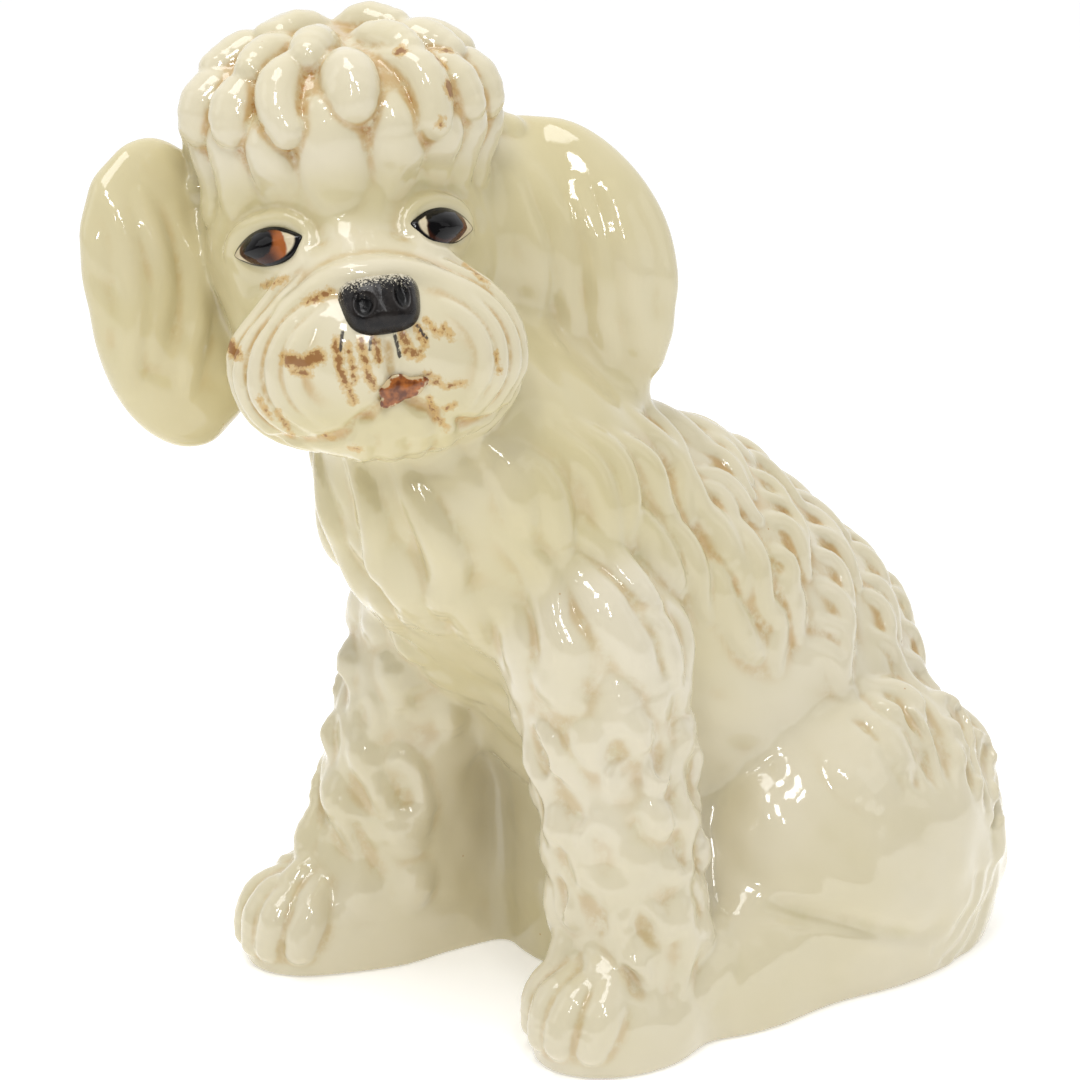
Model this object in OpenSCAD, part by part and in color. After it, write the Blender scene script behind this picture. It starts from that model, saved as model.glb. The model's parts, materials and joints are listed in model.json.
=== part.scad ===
// Seated poodle figurine in glazed earthenware.
// It is a hollow slip casting: separate thin-walled castings are luted edge to edge with slip,
// small solid pieces are pressed on, and a flat plate with a kiln vent closes the underside.
// Millimetres, +Z up. The dog faces -Y and its left side is +X. The head turns to the dog's left.
// The origin is on the resting plane, on the dog's middle line, between the fore and hind feet.

/* [Casting] */
// Thickness of the cast walls
wall = 6; // [4:0.5:8]
// Thickness of the plate that closes the underside
plate_t = 6; // [4:0.5:9]
// Diameter of the kiln vent in the plate
vent_d = 14; // [8:1:24]
// Depth that the eyes, nose and lips are let into the wall
inlay = 3; // [1:0.5:3.5]

/* [Body] */
// Height of the middle of the chest
chest_z = 240; // [200:1:288]
// Distance of the chest ahead of the origin
chest_y = 85; // [72:1:102]
// Radius of the chest
chest_r = 60; // [54:1:72]
// Half width of the shoulders
shoulder_r = 72; // [64:1:86]
// Half width of the back behind the shoulders
back_r = 84; // [74:1:100]
// Half width of the rump
rump_w = 106; // [90:1:127]
// Half length of the rump
rump_l = 95; // [80:1:114]
// Height of the top of the rump
rump_top = 124; // [104:1:148]
// Distance of the middle of the rump behind the origin
rump_y = 76; // [66:1:90]
// Radius of the neck
neck_r = 48; // [40:1:56]

/* [Forelegs] */
// Radius of a foreleg at the shoulder
foreleg_r = 38; // [32:1:45]
// Radius of a foreleg at the wrist
wrist_r = 30; // [25:1:36]
// Height of the wrist
wrist_z = 45; // [38:1:54]
// Half width of a front paw
paw_w = 34; // [29:1:40]
// Half length of a front paw
paw_l = 43; // [36:1:51]
// Height of the top of a front paw
paw_top = 48; // [40:1:57]
// Sideways distance of the left front paw from the middle line
left_paw_x = 84; // [72:1:96]
// Distance of the left front paw ahead of the origin
left_paw_y = 72; // [62:1:86]
// Sideways distance of the right front paw from the middle line
right_paw_x = 78; // [68:1:92]
// Distance of the right front paw ahead of the origin
right_paw_y = 95; // [80:1:112]
// Radius of the web of clay that joins each foreleg to the belly
web_r = 26; // [22:1:31]
// Height of the web
web_z = 120; // [96:1:140]

/* [Hind legs] */
// Half width of a haunch
haunch_w = 54; // [46:1:64]
// Half length of a haunch
haunch_l = 92; // [78:1:106]
// Height of the top of a haunch
haunch_top = 127; // [108:1:150]
// Sideways distance of the middle of a haunch from the middle line
haunch_x = 80; // [70:1:94]
// Half width of a hind paw
hind_paw_w = 30; // [25:1:36]
// Half length of a hind paw
hind_paw_l = 54; // [46:1:64]
// Height of the top of a hind paw
hind_paw_top = 52; // [44:1:62]
// Sideways distance of a hind paw from the middle line
hind_paw_x = 92; // [80:1:108]

/* [Head] */
// How far the head turns to the dog's left, in degrees
head_turn = 57; // [0:1:70]
// How far the face tips upwards, in degrees
head_pitch = 8; // [0:1:14]
// How far the head leans towards the dog's right, in degrees
head_lean = 5; // [0:1:10]
// Half width of the skull
skull_w = 58; // [50:1:68]
// Half length of the skull
skull_l = 62; // [54:1:72]
// Half width of the topknot
topknot_w = 66; // [58:1:78]
// Height of the top of the topknot above the middle of the head
topknot_top = 94; // [82:1:110]
// Half width of the muzzle
muzzle_w = 55; // [46:1:64]
// Half height of the muzzle
muzzle_h = 40; // [34:1:47]
// Distance of the front of the muzzle ahead of the middle of the head
muzzle_y = 100; // [92:1:114]

/* [Ears] */
// Half thickness of an ear flap
ear_t = 17; // [13:1:21]
// Half width of the right ear flap
right_ear_w = 38; // [32:1:45]
// Half length of the right ear flap
right_ear_l = 64; // [54:1:76]
// Half width of the left ear flap
left_ear_w = 46; // [39:1:55]
// Half length of the left ear flap
left_ear_l = 62; // [52:1:74]

/* [Eyes, nose and lips] */
// Distance of each eye from the middle of the face
eye_x = 34; // [29:1:40]
// Half width of an eye
eye_w = 11.5; // [9:0.5:13.5]
// Half height of an eye
eye_h = 7.5; // [6:0.5:9]
// Half width of the nose
nose_w = 16.5; // [13:0.5:20]
// Half height of the nose
nose_h = 10.5; // [8:0.5:13]
// Half width of the lips
lips_w = 11; // [9:0.5:13]
// Half height of the lips
lips_h = 6; // [5:0.5:7]
// How far the eyes, nose and lips stand out of the face
relief = 3; // [2:0.5:5]

/* [Tail] */
// Radius of the tail tuft
tail_r = 26; // [22:1:31]
// Height of the middle of the tail tuft
tail_z = 104; // [90:1:112]

/* [Hidden] */
ivory = [0.91, 0.88, 0.77];
eye_brown = [0.16, 0.09, 0.05];
nose_black = [0.06, 0.05, 0.05];
lip_red = [0.55, 0.23, 0.12];
clay = [0.83, 0.77, 0.65];
left = 1;
right = -1;
facets = 24;
small_facets = 16;
plate_facets = 72;
reach = 400;

// Every form is built of ellipsoids, each written [centre, half sizes].

// Offsets between neighbouring forms
shoulder_drop = 35;
back_drop = 30;
loin_rise = 66;
rump_z = 38;
belly_fwd = 61;
belly_z = 15;
belly_size = [62, 56, 90];
head_side = 32;
head_fwd = 33;
head_rise = 86;
face_z = 5;
topknot_z = 50;
muzzle_z = -43;
muzzle_d = 42;

chest = [[0, -chest_y, chest_z], [chest_r, chest_r, chest_r + 2]];
shoulders = [[0, shoulder_drop - chest_y, chest_z - shoulder_drop], [shoulder_r, shoulder_r - 2, shoulder_r]];
back = [[0, rump_y - 60, (chest_z + rump_top) / 2 - back_drop], [back_r, back_r + 4, back_r + 6]];
loin = [[0, rump_y - 8, rump_z + loin_rise], [rump_w - 14, rump_l + 1, rump_top - rump_z + 8]];
rump = [[0, rump_y, rump_z], [rump_w, rump_l, rump_top - rump_z]];
belly = [[0, rump_y - belly_fwd, belly_z], belly_size];

head_at = [-head_side, -chest_y - head_fwd, chest_z + head_rise];
neck_top = [[-10, -chest_y - 18, chest_z + 55], neck_r * [1, 1, 1]];
skull = [[2, 0, face_z], [skull_w, skull_l, 60]];
cheeks = [[0, -20, -35], [skull_w - 10, 50, 40]];
brow = [[0, 10 - skull_l, -10], [34, 30, 26]];
topknot_knob = [[5, -5, topknot_z], [topknot_w, topknot_w, topknot_top - topknot_z]];
muzzle_knob = [[3, muzzle_d - muzzle_y, muzzle_z], [muzzle_w, muzzle_d, muzzle_h]];

plate_y = rump_y - 16;
plate_w = rump_w - 2 * wall;
plate_l = rump_l - wall - 1;
vent_y = plate_y + 30;

// Where an ellipsoid's front lies at a sideways and an upward place
function front(e, x, z) =
    e[0].y - e[1].y * sqrt(1 - pow((x - e[0].x) / e[1].x, 2) - pow((z - e[0].z) / e[1].z, 2));

// Direction straight out of an ellipsoid at a point on it
function outward(e, p) = [for (i = [0 : 2]) (p[i] - e[0][i]) / pow(e[1][i], 2)];

// One ellipsoid, drawn smaller all round by the inset
module knob(e, inset = 0, fn = facets) {
    translate(e[0]) scale(e[1] - inset * [1, 1, 1]) sphere(1, $fn = fn);
}

// A smooth limb between two ellipsoids
module limb(a, b, inset) {
    hull() {
        knob(a, inset);
        knob(b, inset);
    }
}

// The head's own frame: X to the dog's left, Y to the back of the head, Z to the crown
module in_head() {
    translate(head_at) rotate([0, 0, head_turn]) rotate([-head_pitch, 0, 0]) rotate([0, -head_lean, 0]) children();
}

// Keeps what stands above a level
module above(level) {
    intersection() {
        children();
        translate([-reach, -reach, level]) cube([2 * reach, 2 * reach, 2 * reach]);
    }
}

module torso_form(inset) {
    limb(chest, shoulders, inset);
    limb(shoulders, back, inset);
    limb(back, loin, inset);
    limb(loin, rump, inset);
    limb(belly, rump, inset);
    hull() {
        knob(chest, inset + wall);
        knob(neck_top, inset);
    }
}

// A straight leg with its paw, and the web of clay from the leg back to the belly
module foreleg_form(side, paw_x, paw_y, top_x, inset) {
    paw_z = 10;
    paw_h = paw_top - paw_z;
    web_h = web_z - web_r;
    top = [[side * top_x, 25 - chest_y, chest_z - 72], foreleg_r * [1, 1, 1]];
    wrist = [[side * (paw_x - 6), 16 - paw_y, wrist_z], wrist_r * [1, 1, 1]];
    instep = [[side * paw_x, 8 - paw_y, paw_z], [paw_w - 4, paw_l - 12, paw_h]];
    limb(top, wrist, inset);
    limb(wrist, instep, inset);
    knob([[side * paw_x, -paw_y, paw_z], [paw_w, paw_l, paw_h]], inset);
    hull() for (p = [[paw_x - 20, 24 - paw_y], [50, 0]]) {
        translate([side * p.x, p.y, -web_r]) cylinder(r = web_r - inset, h = web_h + web_r, $fn = facets);
        knob([[side * p.x, p.y, web_h], web_r * [1, 1, 1]], inset);
    }
}

module left_foreleg_form(inset) {
    foreleg_form(left, left_paw_x, left_paw_y, shoulder_r - 16, inset);
}

module right_foreleg_form(inset) {
    foreleg_form(right, right_paw_x, right_paw_y, shoulder_r - 32, inset);
}

module haunch_form(side, inset) {
    paw_z = 12;
    paw_h = hind_paw_top - paw_z;
    knob([[side * haunch_x, rump_y - 2, rump_z], [haunch_w, haunch_l, haunch_top - rump_z]], inset);
    limb([[side * hind_paw_x, rump_y - 80, paw_z], [hind_paw_w, hind_paw_l, paw_h]],
         [[side * haunch_x, rump_y - 36, paw_z], [hind_paw_w, hind_paw_l, paw_h]], inset);
}

module tail_form() {
    knob([[12, rump_y + rump_l - tail_r / 2, tail_z], [tail_r, tail_r, tail_r + 8]]);
}

module skull_form(inset) {
    knob(skull, inset);
    knob(cheeks, inset);
    knob(brow, inset);
}

// A hanging flap, and the root that holds it to the side of the skull
module ear_form(side, flap_w, flap_l, gap, drop, spread, swing) {
    hull() {
        translate([side * (skull_w + gap), 12, -drop]) rotate([0, 0, -side * swing]) rotate([0, -spread, 0])
            knob([[0, 0, 0], [flap_w, ear_t, flap_l]]);
        knob([[side * (skull_w - 4), 8, 2], [ear_t, ear_t + 4, flap_l - 24]]);
    }
}

module left_ear_form() {
    ear_form(left, left_ear_w, left_ear_l, 34, 18, 18, 25);
}

module right_ear_form() {
    ear_form(right, right_ear_w, right_ear_l, 14, 12, 6, 30);
}

// A low dome let into a form's front and lying square to its surface
module inlaid(x, z, w, h, seat) {
    spot = [x, front(seat, x, z), z];
    n = outward(seat, spot);
    translate(spot) rotate([0, 0, atan2(n.x, -n.y)]) rotate([-atan2(n.z, norm([n.x, n.y])), 0, 0])
        knob([[0, (inlay - relief) / 2, 0], [w, (inlay + relief) / 2, h]], 0, small_facets);
}

module eye_form(side) {
    inlaid(side * eye_x, face_z, eye_w, eye_h, skull);
}

module nose_form() {
    inlaid(2, muzzle_z + 23, nose_w, nose_h, muzzle_knob);
}

module lips_form() {
    inlaid(4, muzzle_z - 11, lips_w, lips_h, muzzle_knob);
}

// The hollow that the slip leaves inside: every form, one wall thickness smaller
module cavity() {
    above(plate_t) {
        torso_form(wall);
        left_foreleg_form(wall);
        right_foreleg_form(wall);
        haunch_form(left, wall);
        haunch_form(right, wall);
        in_head() {
            skull_form(wall);
            knob(topknot_knob, wall);
            knob(muzzle_knob, wall);
        }
    }
    plate_blank(1);
}

// A casting is the first form without the forms it butts against and without the hollow
module casting() {
    resize([0, 0, 0]) above(0) difference() {
        children(0);
        children(1);
        cavity();
    }
}

module head_forms() {
    in_head() {
        skull_form(0);
        knob(topknot_knob);
        knob(muzzle_knob);
    }
}

module face_inlays() {
    eye_form(left);
    eye_form(right);
    nose_form();
    lips_form();
}

// The plate's oval blank, taken below the resting plane where it cuts the castings
module plate_blank(below = 0) {
    translate([0, plate_y, -below]) linear_extrude(height = plate_t + below)
        polygon([for (i = [0 : plate_facets - 1]) [plate_w * cos(i * 360 / plate_facets), plate_l * sin(i * 360 / plate_facets)]]);
}

module torso_shell() color(ivory) casting() {
    torso_form(0);
    head_forms();
}

module base_plate() color(clay) difference() {
    plate_blank();
    translate([0, vent_y, -1]) cylinder(d = vent_d, h = plate_t + 2, $fn = 32);
}

module tail_tuft() color(ivory) resize([0, 0, 0]) difference() {
    tail_form();
    torso_form(0);
}

module left_foreleg() color(ivory) casting() {
    left_foreleg_form(0);
    torso_form(0);
}

module right_foreleg() color(ivory) casting() {
    right_foreleg_form(0);
    torso_form(0);
}

module left_haunch() color(ivory) casting() {
    haunch_form(left, 0);
    union() {
        torso_form(0);
        left_foreleg_form(0);
    }
}

module right_haunch() color(ivory) casting() {
    haunch_form(right, 0);
    union() {
        torso_form(0);
        right_foreleg_form(0);
    }
}

module head_shell() color(ivory) casting() {
    in_head() skull_form(0);
    in_head() {
        knob(topknot_knob);
        knob(muzzle_knob);
        face_inlays();
    }
}

module muzzle() color(ivory) casting() {
    in_head() knob(muzzle_knob);
    in_head() face_inlays();
}

module topknot() color(ivory) casting() {
    in_head() knob(topknot_knob);
    in_head() face_inlays();
}

module left_ear() color(ivory) resize([0, 0, 0]) difference() {
    in_head() left_ear_form();
    head_forms();
    torso_form(0);
}

module right_ear() color(ivory) resize([0, 0, 0]) difference() {
    in_head() right_ear_form();
    head_forms();
    torso_form(0);
}

module left_eye() color(eye_brown) resize([0, 0, 0]) in_head() eye_form(left);

module right_eye() color(eye_brown) resize([0, 0, 0]) in_head() eye_form(right);

module nose() color(nose_black) resize([0, 0, 0]) in_head() nose_form();

module lips() color(lip_red) resize([0, 0, 0]) in_head() lips_form();

torso_shell();
base_plate();
tail_tuft();
left_foreleg();
right_foreleg();
left_haunch();
right_haunch();
head_shell();
muzzle();
topknot();
left_ear();
right_ear();
left_eye();
right_eye();
nose();
lips();
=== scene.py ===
"""Looks for the seated poodle figurine: relief of the coat, glaze, painted face, studio.

The CAD nodes are the smooth castings. Here the same forms are built again as one distance field,
the locks, curls and dimples of the coat are laid on it as strokes, and the result is meshed and cut
into one closed shell for each casting. Lengths inside the script are millimetres.
"""

import json
import math
from concurrent.futures import ThreadPoolExecutor
from math import cos, radians, sin

import bpy
import numpy as np
import openvdb
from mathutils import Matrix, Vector
from mathutils.bvhtree import BVHTree

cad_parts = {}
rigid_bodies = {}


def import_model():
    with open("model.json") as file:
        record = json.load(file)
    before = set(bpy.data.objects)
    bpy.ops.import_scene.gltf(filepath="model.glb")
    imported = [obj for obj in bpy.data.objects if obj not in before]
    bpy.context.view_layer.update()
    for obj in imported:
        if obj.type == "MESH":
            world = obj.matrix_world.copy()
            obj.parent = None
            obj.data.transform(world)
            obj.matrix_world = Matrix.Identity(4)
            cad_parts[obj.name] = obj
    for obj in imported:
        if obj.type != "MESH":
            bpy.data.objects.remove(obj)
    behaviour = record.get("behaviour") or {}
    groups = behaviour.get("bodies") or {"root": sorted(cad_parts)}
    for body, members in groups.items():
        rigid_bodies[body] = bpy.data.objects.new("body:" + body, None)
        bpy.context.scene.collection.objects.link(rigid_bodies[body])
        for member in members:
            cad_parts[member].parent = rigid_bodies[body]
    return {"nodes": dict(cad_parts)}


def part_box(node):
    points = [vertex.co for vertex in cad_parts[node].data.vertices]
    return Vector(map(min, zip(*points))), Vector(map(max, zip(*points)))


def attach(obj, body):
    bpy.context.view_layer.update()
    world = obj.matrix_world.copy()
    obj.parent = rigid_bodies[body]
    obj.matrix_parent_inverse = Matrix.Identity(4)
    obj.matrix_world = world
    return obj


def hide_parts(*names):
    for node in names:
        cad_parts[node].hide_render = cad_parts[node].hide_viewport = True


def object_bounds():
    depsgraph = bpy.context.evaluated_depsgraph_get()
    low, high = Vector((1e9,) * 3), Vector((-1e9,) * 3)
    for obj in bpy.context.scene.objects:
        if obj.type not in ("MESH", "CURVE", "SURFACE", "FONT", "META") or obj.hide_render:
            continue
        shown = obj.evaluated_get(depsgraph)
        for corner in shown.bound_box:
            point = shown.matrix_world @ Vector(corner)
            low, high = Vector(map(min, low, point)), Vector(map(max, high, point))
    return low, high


for left_over in list(bpy.data.objects):
    bpy.data.objects.remove(left_over)
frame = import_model()
cad_lo, cad_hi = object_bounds()

MM = 0.001
CELL = 1.25      # grid step of the sculpted surface
COARSE = 2 * CELL                       # grid step of the smooth forms under it
BAND = 6.0                              # depth of the stored distance on each side
GLAZE_WALL = 4.0                        # thickness of the shells
rng = np.random.default_rng(7)


# ---- places taken from the frame

def box(node):
    """Lowest and highest corner of a CAD node."""
    lo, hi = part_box(node)
    return np.array(lo[:]) / MM, np.array(hi[:]) / MM


def middle(node):
    lo, hi = box(node)
    return (lo + hi) / 2


def rotation(rx, ry, rz):
    """Rotation about X, then Y, then Z, in degrees."""
    a, b, c = np.radians([rx, ry, rz])
    x = [[1, 0, 0], [0, cos(a), -sin(a)], [0, sin(a), cos(a)]]
    y = [[cos(b), 0, sin(b)], [0, 1, 0], [-sin(b), 0, cos(b)]]
    z = [[cos(c), -sin(c), 0], [sin(c), cos(c), 0], [0, 0, 1]]
    return np.array(z) @ np.array(y) @ np.array(x)


HEAD_TURN, HEAD_PITCH, HEAD_LEAN = 57, 8, 5     # degrees
HEAD = rotation(0, 0, HEAD_TURN) @ rotation(-HEAD_PITCH, 0, 0) @ rotation(0, -HEAD_LEAN, 0)
EYE_X, EYE_Y, EYE_Z = 34, -50, 5                # the eyes in the head's own frame
HEAD_AT = (middle("left_eye") + middle("right_eye")) / 2 - HEAD @ (0, EYE_Y, EYE_Z)


def from_head(x, y, z):
    return HEAD_AT + HEAD @ np.array([x, y, z], float)


# ---- smooth forms

def smin(a, b, k):
    h = np.maximum(k - np.abs(a - b), 0) / k
    return np.minimum(a, b) - h * h * (k * 0.25)


def smax(a, b, k):
    return -smin(-a, -b, k)


def egg(p, centre, radii, turn=None):
    """Distance to an ellipsoid, close to exact near its surface."""
    q = p - np.asarray(centre, np.float32)
    if turn is not None:
        q = np.einsum("ij,jk->ik", q, turn.astype(np.float32))
    r = np.asarray(radii, np.float32)
    q = q / r
    near = np.sqrt((q * q).sum(1))
    q = q / r
    return near * (near - 1) / (np.sqrt((q * q).sum(1)) + 1e-9)


def limb(p, a, b, ra, rb):
    """Distance to a limb that tapers from radius ra at a to rb at b."""
    a, b = np.asarray(a, np.float32), np.asarray(b, np.float32)
    along = b - a
    t = np.clip(np.einsum("ij,j->i", p - a, along) / (along @ along), 0, 1)
    q = p - a - t[:, None] * along
    return np.sqrt((q * q).sum(1)) - (ra + (rb - ra) * t)


def slab(p, a, b, r):
    """Distance to an upright wall between two plan points, with round ends."""
    a, b = np.asarray(a, np.float32), np.asarray(b, np.float32)
    along = b - a
    t = np.clip(np.einsum("ij,j->i", p[:, :2] - a, along) / (along @ along), 0, 1)
    q = p[:, :2] - a - t[:, None] * along
    return np.sqrt((q * q).sum(1)) - r


TAIL_LO, TAIL_HI = box("tail_tuft")
# plan places of each foreleg, measured outward from the middle line: 1 is the left, -1 the right
LEGS = {1: dict(paw=(84, -72), wrist=(82, -62), top=(56, -62)),
        -1: dict(paw=(78, -95), wrist=(68, -76), top=(40, -58))}
LEG_TOP = 168       # height where a foreleg leaves the shoulder
WEB_TOP = 120       # height of the web of clay between a foreleg and the belly
RELIEF = 2.0        # how far the smooth body lies under the coat's surface
CROWN_RELIEF = 7    # the same for the topknot
CROWN = dict(centre=(5, -5, 50), radii=(66, 66, 44))
MUZZLE = dict(centre=(3, -58, -43), radii=(55, 42, 40))


def forms(p):
    """Distance to the smooth form of each casting."""
    out = {}
    t = egg(p, (0, -85, 240), (60, 60, 62))
    t = smin(t, egg(p, (0, -50, 205), (72, 70, 72)), 30)
    t = smin(t, egg(p, (0, 16, 152), (84, 88, 90)), 30)
    t = smin(t, egg(p, (0, 68, 104), (92, 98, 94)), 30)
    t = smin(t, egg(p, (0, 76, 38), (106, 95, 86)), 30)
    out["torso_shell"] = smin(t, egg(p, (2, 15, 15), (62, 56, 90)), 30)
    for side, name in ((1, "left"), (-1, "right")):
        thigh = egg(p, (side * 80, 74, 38), (54, 92, 89))
        out[name + "_haunch"] = smin(thigh, egg(p, (side * 92, -4, 12), (30, 54, 40)), 14)
        leg = LEGS[side]
        (px, py), (wx, wy), (tx, ty) = leg["paw"], leg["wrist"], leg["top"]
        arm = limb(p, (side * tx, ty, LEG_TOP), (side * wx, wy, 45), 38, 30)
        arm = smin(arm, egg(p, (side * px, py, 10), (34, 43, 38)), 12)
        web = smax(slab(p, (side * 62, py + 22), (side * 50, 0), 26), p[:, 2] - WEB_TOP, 80)
        out[name + "_foreleg"] = smin(arm, web, 24)
    out["tail_tuft"] = egg(p, (TAIL_LO + TAIL_HI) / 2 - (0, 3, 0), (TAIL_HI - TAIL_LO) / 2)
    q = np.einsum("ij,jk->ik", p - HEAD_AT.astype(np.float32), HEAD.astype(np.float32))
    skull = egg(q, (2, 0, 5), (58, 62, 60))
    out["head_shell"] = smin(skull, egg(q, (0, -20, -35), (48, 50, 40)), 14)
    out["topknot"] = egg(q, CROWN["centre"], np.array(CROWN["radii"]) - CROWN_RELIEF)
    snout = egg(q, (0, -51, -13), (32, 30, 22))
    out["muzzle"] = smin(snout, egg(q, MUZZLE["centre"], np.array(MUZZLE["radii"]) - 1), 10)
    out["right_ear"] = egg(q, (-72, 12, -12), (38, 17, 64), rotation(0, -6, 30))
    flap = egg(q, (92, 14, -18), (46, 20, 62), rotation(0, -18, -25))
    out["left_ear"] = smin(flap, egg(q, (55, 8, 0), (36, 26, 42)), 14)
    return out


def smooth_form(p):
    """The castings blended into one figure that stands on the plane z = 0."""
    f = forms(p)
    body = f["torso_shell"]
    for name in ("left", "right"):
        body = smin(body, f[name + "_haunch"], 7)
        body = smin(body, f[name + "_foreleg"], 11)
    body = smin(body, f["tail_tuft"], 10)
    head = smin(f["head_shell"], f["topknot"], 8)
    head = smin(head, f["muzzle"], 12)
    head = smin(head, f["right_ear"], 8)
    head = smin(head, f["left_ear"], 10)
    return smin(body + RELIEF, head, 14)


# ---- the field on its grid

GRID_MARGIN, GRID_FLOOR = 12, -8        # room round the figure, and where the grid starts in height
GRID_LO = np.array(cad_lo[:]) / MM - GRID_MARGIN
GRID_LO[2] = GRID_FLOOR
GRID_HI = np.array(cad_hi[:]) / MM + GRID_MARGIN
COUNT = np.ceil((GRID_HI - GRID_LO) / COARSE).astype(int) + 1


def coarse_field():
    axes = [GRID_LO[i] + COARSE * np.arange(COUNT[i]) for i in range(3)]
    y, z = np.meshgrid(axes[1], axes[2], indexing="ij")

    def sheet(x):
        p = np.stack([np.full(y.size, x), y.ravel(), z.ravel()], 1).astype(np.float32)
        return smooth_form(p).reshape(y.shape)

    with ThreadPoolExecutor(4) as pool:
        return np.stack(list(pool.map(sheet, axes[0])))


def halved(a):
    """The field at half the grid step, by a four-point curve along each axis."""
    for axis in range(3):
        a = np.moveaxis(a, axis, 0)
        ends = np.concatenate([2 * a[:1] - a[1:2], a, 2 * a[-1:] - a[-2:-1]])
        mids = (9 * (ends[1:-2] + ends[2:-1]) - ends[:-3] - ends[3:]) / 16
        fine = np.empty((2 * len(a) - 1,) + a.shape[1:], np.float32)
        fine[::2], fine[1::2] = a, mids
        a = np.moveaxis(fine, 0, axis)
    return np.ascontiguousarray(a)


base = coarse_field()
field = halved(base)


def sample(p):
    """The field at points, between grid values."""
    q = (np.atleast_2d(p) - GRID_LO) / COARSE
    i = np.clip(np.floor(q).astype(int), 0, np.array(base.shape) - 2)
    f = q - i
    total = 0
    for dx in (0, 1):
        for dy in (0, 1):
            for dz in (0, 1):
                w = (f[:, 0] if dx else 1 - f[:, 0]) * (f[:, 1] if dy else 1 - f[:, 1])
                w = w * (f[:, 2] if dz else 1 - f[:, 2])
                total = total + w * base[i[:, 0] + dx, i[:, 1] + dy, i[:, 2] + dz]
    return total


def outward(p):
    """Unit normals of the smooth form at points."""
    g = np.stack([sample(p + d) - sample(p - d) for d in np.eye(3) * COARSE], 1)
    return g / np.linalg.norm(g, axis=1, keepdims=True)


def probe(p):
    """The field and its slope at one point."""
    x, y, z = ((p[i] - GRID_LO[i]) / COARSE for i in range(3))
    i, j, k = int(x), int(y), int(z)
    x, y, z = x - i, y - j, z - k
    ((a, b), (c, d)), ((e, f), (g, h)) = base[i:i + 2, j:j + 2, k:k + 2].tolist()
    ab, cd, ef, gh = a + (b - a) * z, c + (d - c) * z, e + (f - e) * z, g + (h - g) * z
    near, far = ab + (cd - ab) * y, ef + (gh - ef) * y
    slope_y = (cd - ab) * (1 - x) + (gh - ef) * x
    slope_z = ((b - a) * (1 - y) + (d - c) * y) * (1 - x) + ((f - e) * (1 - y) + (h - g) * y) * x
    return near + (far - near) * x, np.array([far - near, slope_y, slope_z]) / COARSE


def settle(p):
    """Moves a point along the field onto the smooth surface. Returns it and the outward normal."""
    for _ in range(4):
        value, slope = probe(p)
        slope /= math.sqrt(slope @ slope)
        p = p - value * slope
    return p, slope


def settled(points):
    """The same for several points: paths and normals."""
    pairs = [settle(np.asarray(p, float)) for p in points]
    return np.array([p for p, _ in pairs]), np.array([n for _, n in pairs])


# ---- strokes

def walk(start, heading, length, bend=0, sway=0):
    """Points of a path on the smooth surface. It bends by bend degrees in all, and sways that far
    to one side and back."""
    steps = max(4, int(length / 4))
    p, n = settle(np.asarray(start, float))
    path, normals = [], []
    d = np.array(heading, float)
    for i in range(steps + 1):
        path.append(p)
        normals.append(n)
        t = (i + 0.5) / steps
        turn = radians((bend + sway * 2 * math.pi * cos(2 * math.pi * t)) / steps)
        d = d - n * (d @ n)
        d /= np.linalg.norm(d)
        d = d * cos(turn) + np.cross(n, d) * sin(turn)
        p, n = settle(p + d * length / steps)
    return np.array(path), np.array(normals)


def lay(path, normals, width, rise, k=2.0, root=0.0, tip=0.35, fat=0.62, taper=0.38, carve=False):
    """Adds a rounded ridge along a path to the field, or carves it out as a groove.
    root and tip are the shares of its height at its two ends, fat is where it is widest."""
    n = len(path)
    t = np.linspace(0, 1, n)
    swell = np.where(t < fat, t / fat, (1 - t) / (1 - fat))
    swell = np.sin(swell * math.pi / 2)
    r = (width * width / 4 + rise * rise) / (2 * rise)
    radii = r * (1 - taper * (1 - swell))
    share = np.where(t < fat, root + (1 - root) * swell, tip + (1 - tip) * swell)
    lift = share * rise - radii
    if carve:
        centres = path - normals * lift[:, None]
    else:
        centres = path + normals * lift[:, None]
    margin = k + CELL
    lo = (centres - radii[:, None]).min(0) - margin
    hi = (centres + radii[:, None]).max(0) + margin
    i0 = np.maximum(np.floor((lo - GRID_LO) / CELL).astype(int), 0)
    i1 = np.minimum(np.ceil((hi - GRID_LO) / CELL).astype(int) + 1, field.shape)
    near = np.full(i1 - i0, 1e3, np.float32)
    for a, b, ra, rb in zip(centres[:-1], centres[1:], radii[:-1], radii[1:]):
        big = max(ra, rb) + margin
        j0 = np.maximum(np.floor((np.minimum(a, b) - big - GRID_LO) / CELL).astype(int), i0)
        j1 = np.minimum(np.ceil((np.maximum(a, b) + big - GRID_LO) / CELL).astype(int) + 1, i1)
        if np.any(j1 <= j0):
            continue
        axes = [(GRID_LO[i] + CELL * np.arange(j0[i], j1[i]) - a[i]).astype(np.float32)
                for i in range(3)]
        x, y, z = axes[0][:, None, None], axes[1][None, :, None], axes[2][None, None, :]
        along = b - a
        s = np.clip((x * along[0] + y * along[1] + z * along[2]) / max(along @ along, 1e-6), 0, 1)
        d = np.sqrt((x - s * along[0]) ** 2 + (y - s * along[1]) ** 2 + (z - s * along[2]) ** 2)
        d -= ra + (rb - ra) * s
        part = tuple(slice(j0[i] - i0[i], j1[i] - i0[i]) for i in range(3))
        near[part] = np.minimum(near[part], d)
    part = tuple(slice(i0[i], i1[i]) for i in range(3))
    field[part] = smax(field[part], -near, k) if carve else smin(field[part], near, k)


def lock(start, heading, length, width, rise, bend=0, sway=0, **shape):
    path, normals = walk(start, heading, length, bend, sway)
    lay(path, normals, width, rise, **shape)


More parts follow.
